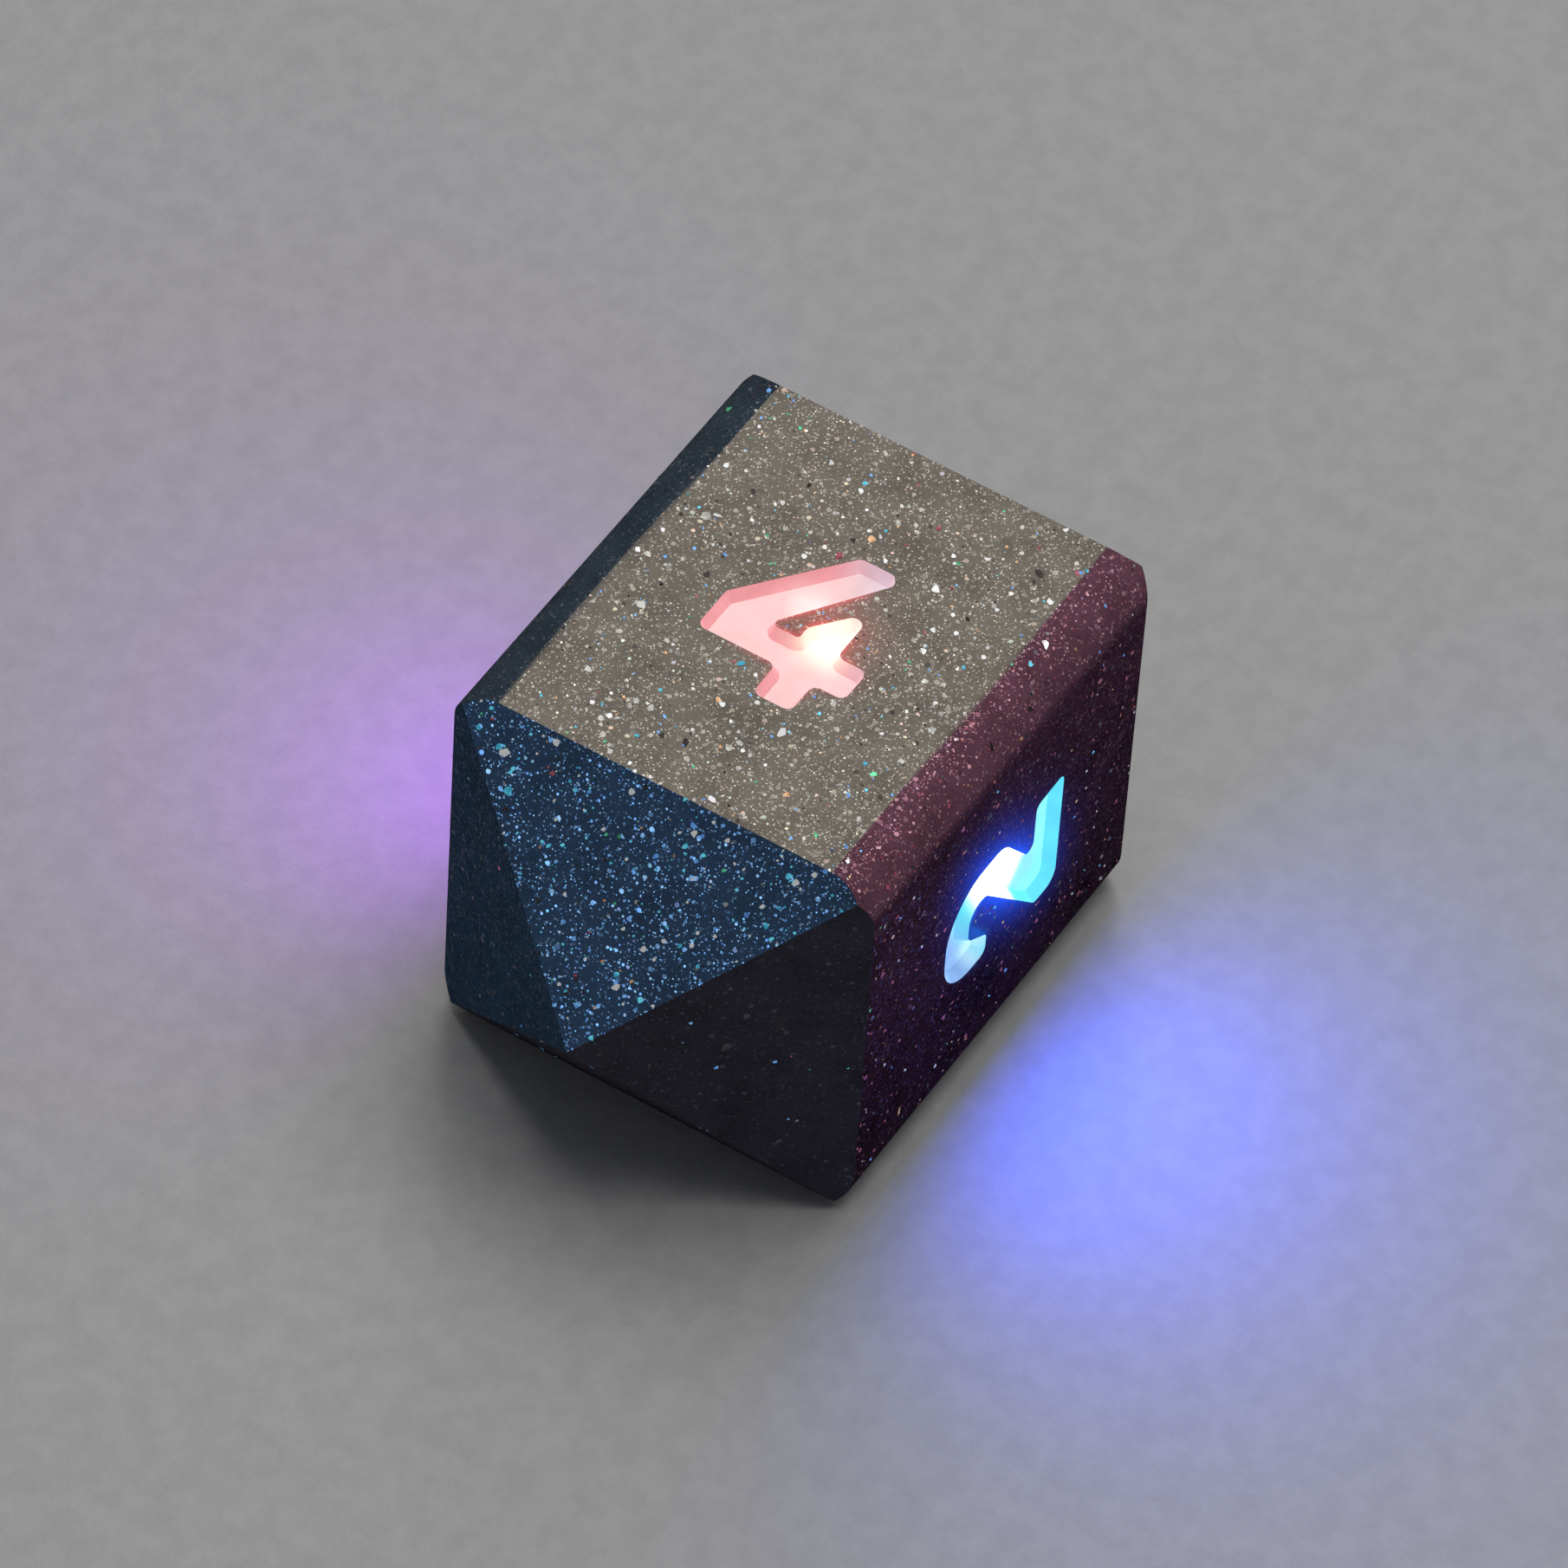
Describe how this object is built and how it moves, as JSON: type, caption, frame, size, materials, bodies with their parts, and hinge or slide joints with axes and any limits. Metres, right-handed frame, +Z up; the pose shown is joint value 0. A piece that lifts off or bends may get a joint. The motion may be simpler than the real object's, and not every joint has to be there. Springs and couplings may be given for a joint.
{
  "type": "light-up four-sided die",
  "caption": "Four-sided bar die of dark glitter resin with a low pyramid on each end and numerals lit from inside.",
  "frame": {"origin": "centre of the face that the die rests on, numbered 1", "axes": "+Z up through the face numbered 4, +X along the bar towards one pyramid's tip, +Y through the face numbered 2"},
  "size_m": [0.0274, 0.016, 0.016],
  "materials": {
    "glitter_resin": "satin, filled with glitter",
    "clear_resin": "clear gloss",
    "numeral_1": "milky, lit from behind",
    "numeral_2": "milky, lit from behind",
    "numeral_3": "milky, lit from behind",
    "numeral_4": "milky, lit from behind",
    "circuit_board": "solder mask",
    "flexible_film": "amber film",
    "lamp_housing": "white moulded",
    "lamp_lens_1": "clear, lit",
    "lamp_lens_2": "clear, lit",
    "lamp_lens_3": "clear, lit",
    "lamp_lens_4": "clear, lit",
    "chip_package": "moulded epoxy",
    "ferrite": "matte",
    "plated_metal": "tin or nickel plated",
    "white_ceramic": "matte",
    "tan_ceramic": "fired",
    "cell_pouch": "satin foil pouch",
    "foam": "closed-cell foam",
    "red_insulation": "satin",
    "black_insulation": "satin",
    "copper": "enamelled copper wire"
  },
  "bodies": {
    "root": {"battery_cell": "cell_pouch", "capacitors": "tan_ceramic", "cell_foam_pad": "foam", "cell_lead_black": "black_insulation", "cell_lead_red": "red_insulation", "cell_tab_negative": "plated_metal", "cell_tab_positive": "plated_metal", "cell_wrap": "flexible_film", "charge_chip": "chip_package", "charging_board": "circuit_board", "charging_coil": "copper", "chip_antenna": "white_ceramic", "coil_tails": "copper", "ferrite_sheet": "ferrite", "flex_hinges": "flexible_film", "glitter_shell": "glitter_resin", "guard_board": "circuit_board", "guard_chip": "chip_package", "lamp_driver_chip": "chip_package", "led_board_1": "circuit_board", "led_board_2": "circuit_board", "led_board_3": "circuit_board", "led_board_4": "circuit_board", "led_housing_1": "lamp_housing", "led_housing_2": "lamp_housing", "led_housing_3": "lamp_housing", "led_housing_4": "lamp_housing", "led_lens_1": "lamp_lens_1", "led_lens_2": "lamp_lens_2", "led_lens_3": "lamp_lens_3", "led_lens_4": "lamp_lens_4", "light_core": "clear_resin", "motion_sensor": "chip_package", "numeral_1": "numeral_1", "numeral_2": "numeral_2", "numeral_3": "numeral_3", "numeral_4": "numeral_4", "power_inductor": "ferrite", "radio_board": "circuit_board", "radio_chip": "chip_package", "radio_crystal": "plated_metal", "solder_ends": "plated_metal", "wake_sensor": "chip_package"}
  },
  "joints": []
}
